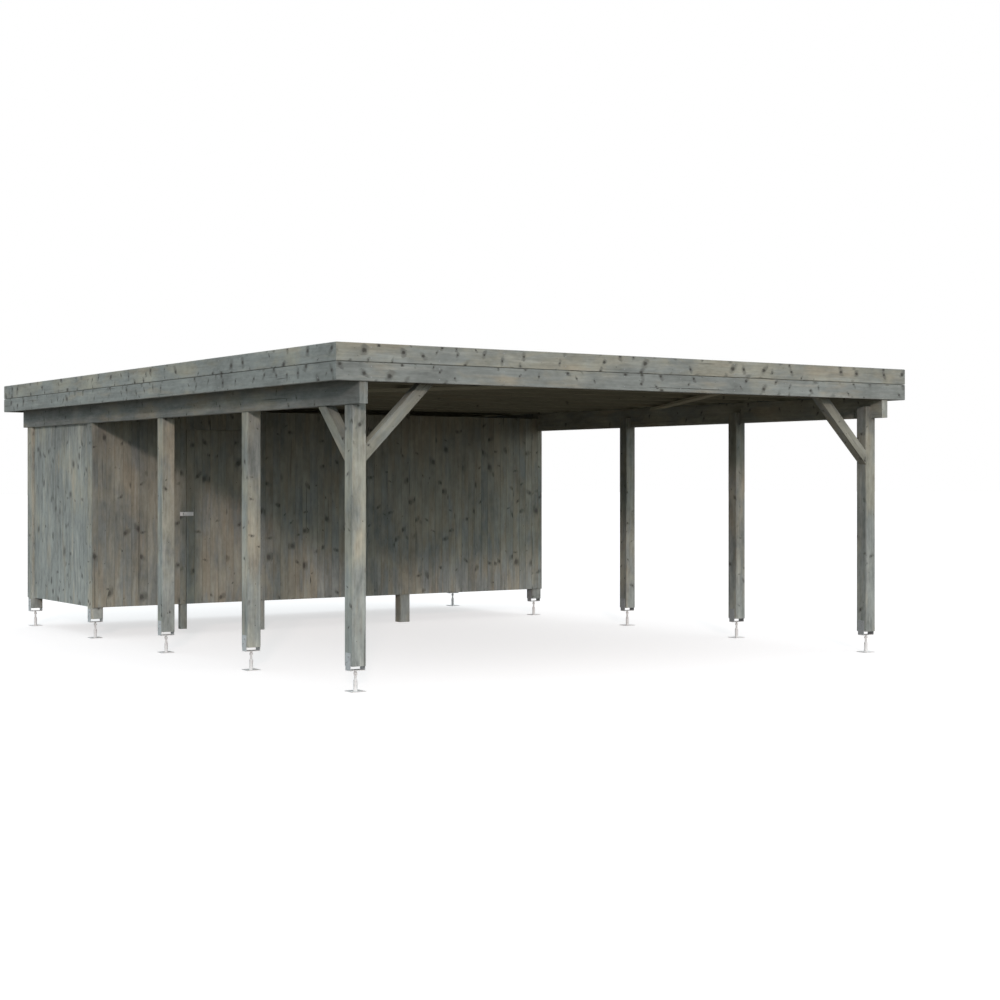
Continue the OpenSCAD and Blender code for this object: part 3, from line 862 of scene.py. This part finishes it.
def felt_tree():
    """Sheets of felt side by side along +Y, each lapping over the next."""
    tree = Tree("Felt sheets", {"Count": INTEGER, "Pitch": FLOAT, "Corner": VECTOR, "Material": MATERIAL})
    points = tree.node("GeometryNodeMeshLine", None, {
        "Count": tree["Count"], "Start Location": tree["Corner"],
        "Offset": tree.xyz(0.0, tree["Pitch"], 0.0)})[0]
    sheets = tree.node("GeometryNodeInstanceOnPoints", None,
                       {"Points": points, "Instance": tree["Geometry"]})[0]
    return tree.finish(sheets, tree["Material"])


def turned_points(name, places):
    """A mesh of loose points, each with the turn of the face that it lies on."""
    mesh = flat_mesh(name, [point for point, turn in places])
    turns = mesh.attributes.new("turn", "FLOAT_VECTOR", "POINT")
    for item, (point, turn) in zip(turns.data, places):
        item.vector = turn
    return mesh


def dress(names, material):
    """Gives CAD nodes a material."""
    for name in names:
        for slot in frame["nodes"][name].material_slots:
            slot.material = material


def settle(piece, body, slot, *nodes):
    """Rides a piece on its body and hides the CAD nodes that it stands in for."""
    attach(piece, body)
    if nodes:
        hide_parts(*nodes)


def board_count(width, first, cover):
    """Boards in a row whose first board has a width of its own."""
    return 1 + ceil((width - first) / cover - SLIVER)


class WallPlan:
    """How a wall is divided into boards, in the wall's own frame and in the part's."""

    def __init__(self, row, sizes):
        low, high = corners(row.node)
        beam_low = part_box("beam_left")[0][2] - sizes.beam_play
        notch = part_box("beam_left")[1][0] + sizes.beam_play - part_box("front_wall_left")[0][0]
        size = high - low
        sideways = row.turn in (FACE_LEFT, FACE_RIGHT)
        self.row = row
        self.width, self.thickness = (size.y, size.x) if sideways else (size.x, size.y)
        self.height = size.z
        self.corner = {FACE_FRONT: low, FACE_BACK: Vector((high.x, high.y, low.z)),
                       FACE_LEFT: Vector((low.x, high.y, low.z)),
                       FACE_RIGHT: Vector((high.x, low.y, low.z))}[row.turn]
        self.cover = self.width / sizes.door_boards if row.fitted else sizes.cover
        if row.fitted:
            self.first = self.cover
        elif row.notched[0]:
            self.first = notch
        elif row.notched[1]:
            self.first = (self.width - notch) % self.cover
        else:
            self.first = self.width % self.cover
        self.count = board_count(self.width, self.first, self.cover)
        self.ends = [beam_low - low.z if cut else self.height for cut in row.notched]

    def body(self):
        return DOOR_BODY if self.row.node == "door_boards" else FRAME_BODY


# Operators

class CARPORT_OT_timber(bpy.types.Operator):
    """Finish the posts, beams, rafters, rails, braces and fascia boards"""
    bl_idname = "carport.timber"
    bl_label = "Weathered timber"

    def execute(self, context):
        low, high = corners("fascia_front")
        middle = (low.z + high.z) / 2
        dress(LEFT_POSTS, weathered_timber("timber_left_post", UP, LEFT_POST))
        # The right posts' finish holds painted shade
        dress(RIGHT_POSTS, weathered_timber("timber_right_post", UP, RIGHT_POST_PAINTED_SHADE))
        # The uprights' finish holds painted light
        dress(WALL_UPRIGHTS, weathered_timber("timber_wall_upright_painted_light", UP, WALL_UPRIGHT_PAINTED_LIGHT))
        # The left beam's finish holds painted shade
        dress(["beam_left"], weathered_timber("timber_left_beam_painted_shade", ALONG, LEFT_BEAM_PAINTED_SHADE))
        dress(["beam_right"], weathered_timber("timber_right_beam", ALONG, RIGHT_BEAM))
        dress(RAILS_ALONG, weathered_timber("timber_rail_along", ALONG, FRONT_WALL))
        dress(RAILS_ACROSS, weathered_timber("timber_rail_across", ACROSS, FRONT_WALL))
        dress(["rafters"], weathered_timber("timber_rafter", ACROSS, ROOF))
        # The roof braces' finish holds a painted highlight
        dress(["roof_braces"], weathered_timber("timber_roof_brace_painted_light", SLANTING, ROOF_BRACE_PAINTED_LIGHT, mirrored=True))
        # The side fascia's finish holds painted sky light
        dress(FASCIA_ALONG, weathered_timber("fascia_along", ALONG, SIDE_FASCIA_PAINTED_SKY_LIGHT, split=middle))
        dress(FASCIA_ACROSS, weathered_timber("fascia_across", ACROSS, FASCIA, split=middle))
        dress(FRONT_BRACES, weathered_timber("brace_across", RISING_OUT, BRACE, mirrored=True))
        dress(SIDE_BRACES, weathered_timber("brace_along", RISING_BACK, BRACE))
        return {"FINISHED"}


class CARPORT_OT_wall_boards(bpy.types.Operator):
    """Board the walls of the storage room and its door"""
    bl_idname = "carport.wall_boards"
    bl_label = "Wall boards"

    def execute(self, context):
        sizes = context.scene.carport_boards
        tree = board_row_tree()
        # The right and back walls' finish holds painted light
        hidden_painted_light = weathered_timber("hidden_wall_timber_painted_light", UP, HIDDEN_WALL_PAINTED_LIGHT, boards=True)
        finishes = {
            FACE_FRONT: weathered_timber("front_wall_timber", UP, FRONT_WALL, boards=True),
            # The left wall's finish holds painted sky light
            FACE_LEFT: weathered_timber("left_wall_timber_painted_sky_light", UP, LEFT_WALL_PAINTED_SKY_LIGHT, boards=True),
            FACE_RIGHT: hidden_painted_light, FACE_BACK: hidden_painted_light}
        for row in ROWS:
            plan = WallPlan(row, sizes)
            mesh = board_mesh(row.node + "_board", plan.cover, plan.thickness, sizes)
            piece = run_tree(row.node + "_boarding", mesh, tree, {
                "Count": plan.count, "Cover": plan.cover, "First": plan.first, "Width": plan.width,
                "Height": plan.height, "First height": plan.ends[0], "Last height": plan.ends[1],
                "Uneven": sizes.uneven, "Turn": Euler(row.turn), "Corner": plan.corner, "Seed": row.seed,
                "Material": finishes[row.turn]})
            settle(piece, plan.body(), "wall_boards", row.node)
        return {"FINISHED"}


class CARPORT_OT_roof(bpy.types.Operator):
    """Board the roof from below and lay its felt"""
    bl_idname = "carport.roof"
    bl_label = "Roof boards and felt"

    def execute(self, context):
        boards = context.scene.carport_boards
        fixings = context.scene.carport_fixings
        low, high = corners("roof_boards")
        finish = weathered_timber("roof_board_timber", ALONG, ROOF, boards=True)
        width, depth = high.x - low.x, high.y - low.y
        first = width % boards.roof_cover
        mesh = board_mesh("roof_board", boards.roof_cover, high.z - low.z, boards)
        piece = run_tree("roof_boarding", mesh, board_row_tree(), {
            "Count": board_count(width, first, boards.roof_cover), "Cover": boards.roof_cover,
            "First": first, "Width": width, "Height": depth, "First height": depth, "Last height": depth,
            "Uneven": 0.0, "Turn": Euler(FACE_DOWN), "Corner": Vector((low.x, high.y, low.z)),
            "Seed": ROOF_SEED, "Material": finish})
        settle(piece, FRAME_BODY, "roof_boards", "roof_boards")

        felt = mineral_felt("roof_felt")
        dress(["roof_covering"], felt)
        low, high = corners("roof_covering")
        edge = COVER_THICKNESS + FELT_PLAY
        start = low + Vector((edge, edge, COVER_THICKNESS))
        depth = high.y - low.y - 2 * edge
        count = ceil(depth / fixings.felt_width)
        sheet = felt_mesh(high.x - low.x - 2 * edge, depth / count, fixings.felt_lap)
        laid = run_tree("roof_felt_sheets", sheet, felt_tree(), {
            "Count": count, "Pitch": depth / count, "Corner": start, "Material": felt})
        settle(laid, FRAME_BODY, "roof_covering")
        return {"FINISHED"}


class CARPORT_OT_fixings(bpy.types.Operator):
    """Finish the steel, thread the rods of the feet and set the bolts and screws"""
    bl_idname = "carport.fixings"
    bl_label = "Steel and fixings"

    def execute(self, context):
        sizes = context.scene.carport_fixings
        tones = context.scene.carport_colours
        plate_top = sizes.shoe_low + sizes.shoe_plate
        bright = zinc_coat("zinc_bright", tones.zinc)
        dull = zinc_coat("zinc_dull_and_painted_shade", tones.zinc_dull_and_painted_shade)
        # Painted light: sunlit zinc on the left shoes, shaded zinc on the right ones
        dress(["feet_left"], zinc_coat("zinc_left_feet", tones.zinc_painted_sunlit, plate_top))
        dress(["feet_right"], zinc_coat("zinc_right_feet", tones.zinc_dull_and_painted_shade, plate_top))
        dress(DOOR_STEEL, bright)
        middles = [(low + high) / 2 for low, high in map(corners, POSTS)]
        tree = thread_tree()
        for name, low, high in (("lower_threads", sizes.neck_top, sizes.nut_low),
                                ("upper_threads", sizes.nut_high, sizes.shoe_low)):
            mesh = flat_mesh(name + "_points", [(middle.x, middle.y, low) for middle in middles])
            threads = run_tree(name, mesh, tree, {
                "Radius": sizes.rod_radius, "Pitch": sizes.thread_pitch, "Length": high - low,
                "Material": bright})
            settle(threads, FRAME_BODY, "galvanised_steel")

        bolt, screw = head_tree("Bolt heads", True), head_tree("Screw heads", False)
        self.heads("shoe_bolts", bolt, self.shoe_places(middles), sizes.bolt_radius, dull, FRAME_BODY)
        self.heads("fascia_screws", screw, self.fascia_places(sizes), sizes.screw_radius, dull, FRAME_BODY)
        for node, body in (("frame_hinges", FRAME_BODY), ("door_hinges", DOOR_BODY)):
            self.heads(node + "_screws", screw, self.hinge_places(node), sizes.screw_radius, dull, body)
        return {"FINISHED"}

    @staticmethod
    def heads(name, tree, places, radius, material, body):
        piece = run_tree(name, turned_points(name + "_points", places), tree,
                         {"Radius": radius, "Material": material})
        settle(piece, body, "galvanised_steel")

    @staticmethod
    def shoe_places(middles):
        """Two bolts in every cheek of the shoes."""
        low, high = corners("feet_left")
        half = (high.x - low.x) / 2
        places = []
        for middle in middles:
            for side, turn in ((-1, FACE_LEFT), (1, FACE_RIGHT)):
                for shift, drop in SHOE_BOLTS:
                    point = (middle.x + side * half, middle.y + side * shift, high.z - drop)
                    places.append((point, turn))
        return places

    @staticmethod
    def fascia_places(sizes):
        """Two screws, one over the other, at every rafter's end or as far apart, in every fascia board."""
        places = []
        for node, turn in (("fascia_front", FACE_FRONT), ("fascia_back", FACE_BACK),
                           ("fascia_left", FACE_LEFT), ("fascia_right", FACE_RIGHT)):
            low, high = corners(node)
            sideways = turn in (FACE_LEFT, FACE_RIGHT)
            start, end = (low.y, high.y) if sideways else (low.x, high.x)
            count = round((end - start) / sizes.screw_pitch)
            board, edge = (high.z - low.z) / 2, sizes.screw_edge
            face = {FACE_FRONT: low.y, FACE_BACK: high.y, FACE_LEFT: low.x, FACE_RIGHT: high.x}[turn]
            for k in range(count):
                along = start + (end - start) * (k + 0.5) / count
                for z in (low.z + edge, low.z + board - edge, low.z + board + edge, high.z - edge):
                    places.append(((face, along, z) if sideways else (along, face, z), turn))
        return places

    @staticmethod
    def hinge_places(node):
        """Two screws beside every knuckle of the hinges."""
        on_frame = node == "frame_hinges"
        away = 1 if on_frame else -1
        hinge_x = frame["joints"][0]["pos_m"][0]
        leaf_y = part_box("front_wall_right")[0][1] - HINGE_LEAF
        low, high = corners("frame_hinges")
        places = []
        for k in range(HINGES):
            base = low.z + k * (high.z - low.z - HINGE_HEIGHT) / (HINGES - 1)
            for share in FRAME_KNUCKLES if on_frame else DOOR_KNUCKLES:
                for reach in HINGE_SCREWS:
                    point = (hinge_x + away * reach, leaf_y, base + share * HINGE_HEIGHT)
                    places.append((point, FACE_FRONT))
        return places


class CARPORT_OT_stage(bpy.types.Operator):
    """Set the floor, the light and the camera"""
    bl_idname = "carport.stage"
    bl_label = "Stage"

    def execute(self, context):
        stage = context.scene.carport_stage
        self.floor(stage)
        self.light(context.scene, stage)
        self.camera(context.scene, stage)
        context.scene.view_settings.view_transform = "Standard"
        return {"FINISHED"}

    @staticmethod
    def floor(stage):
        """A floor that looks white with soft shadows, and throws back the ground's tone."""
        signs = ((-1, -1), (1, -1), (1, 1), (-1, 1))
        mesh = flat_mesh("floor", [(x * FLOOR_REACH, y * FLOOR_REACH, 0) for x, y in signs], [(0, 1, 2, 3)])
        shader = Shader(bpy.data.materials.new("floor_white"))
        pale = shader.node("ShaderNodeBsdfDiffuse", None, {"Color": FLOOR_TONE})
        glow = shader.node("ShaderNodeEmission", None, {"Color": WHITE, "Strength": FLOOR_GLOW})
        white = shader.node("ShaderNodeAddShader", None, {0: pale[0], 1: glow[0]})
        ground = shader.node("ShaderNodeBsdfDiffuse", None, {"Color": (*stage.ground, 1.0)})
        both = shader.blend(shader.seen(), ground[0], white[0])
        shader.node("ShaderNodeOutputMaterial", None, {"Surface": both})
        mesh.materials.append(shader.owner)
        mesh_object("floor", mesh)

    @staticmethod
    def light(scene, stage):
        key = bpy.data.lights.new("key_light", "SUN")
        key.energy = stage.sun
        key.angle = stage.sun_angle
        key.color = stage.sun_tone
        lamp = bpy.data.objects.new("key_light", key)
        lamp.rotation_euler = Vector(stage.sun_way).to_track_quat("-Z", "Y").to_euler()
        scene.collection.objects.link(lamp)
        scene.world = bpy.data.worlds.new("studio")
        shader = Shader(scene.world)

        def background(colour, strength):
            return shader.node("ShaderNodeBackground", None, {"Color": colour, "Strength": strength})[0]

        sky = background((*stage.sky_tone, 1.0), stage.sky)
        glow = background((*stage.glow_tone, 1.0), stage.glow)
        way = shader.node("ShaderNodeTexCoord")["Generated"]
        front = shader.step(shader.dot(way, Vector(stage.glow_from).normalized()), *GLOW_EDGE)
        fill = shader.blend(front, sky, glow)
        both = shader.blend(shader.seen(), fill, background(WHITE, 1.0))
        shader.node("ShaderNodeOutputWorld", None, {"Surface": both})

    @staticmethod
    def camera(scene, stage):
        lens = bpy.data.cameras.new("camera")
        lens.sensor_width = SENSOR
        lens.sensor_fit = "HORIZONTAL"
        lens.lens = stage.lens
        lens.shift_y = stage.rise
        lens.clip_end = VIEW_END
        camera = bpy.data.objects.new("camera", lens)
        camera.location = stage.eye
        camera.rotation_euler = (pi / 2, 0.0, -stage.heading)
        scene.collection.objects.link(camera)
        scene.camera = camera


class CARPORT_PT_panel(bpy.types.Panel):
    """Buttons for the carport's pieces and stage"""
    bl_idname = "CARPORT_PT_panel"
    bl_label = "Timber carport"
    bl_space_type = "VIEW_3D"
    bl_region_type = "UI"
    bl_category = "Carport"

    def draw(self, context):
        for operator in OPERATORS:
            self.layout.operator(operator.bl_idname)
        for group in SETTINGS:
            settings = getattr(context.scene, group)
            box = self.layout.box()
            for name in settings.__annotations__:
                box.prop(settings, name)


SETTINGS = {
    "carport_boards": CarportBoards,
    "carport_fixings": CarportFixings,
    "carport_colours": CarportColours,
    "carport_stage": CarportStage,
}
OPERATORS = [
    CARPORT_OT_timber,
    CARPORT_OT_wall_boards,
    CARPORT_OT_roof,
    CARPORT_OT_fixings,
    CARPORT_OT_stage,
]
CLASSES = [*SETTINGS.values(), *OPERATORS, CARPORT_PT_panel]


def register():
    for kind in CLASSES:
        bpy.utils.register_class(kind)
    for name, kind in SETTINGS.items():
        setattr(bpy.types.Scene, name, PointerProperty(type=kind))


def unregister():
    for name in SETTINGS:
        delattr(bpy.types.Scene, name)
    for kind in reversed(CLASSES):
        bpy.utils.unregister_class(kind)


def main():
    register()
    bpy.ops.carport.timber()
    bpy.ops.carport.wall_boards()
    bpy.ops.carport.roof()
    bpy.ops.carport.fixings()
    bpy.ops.carport.stage()


if __name__ == "__main__":
    main()
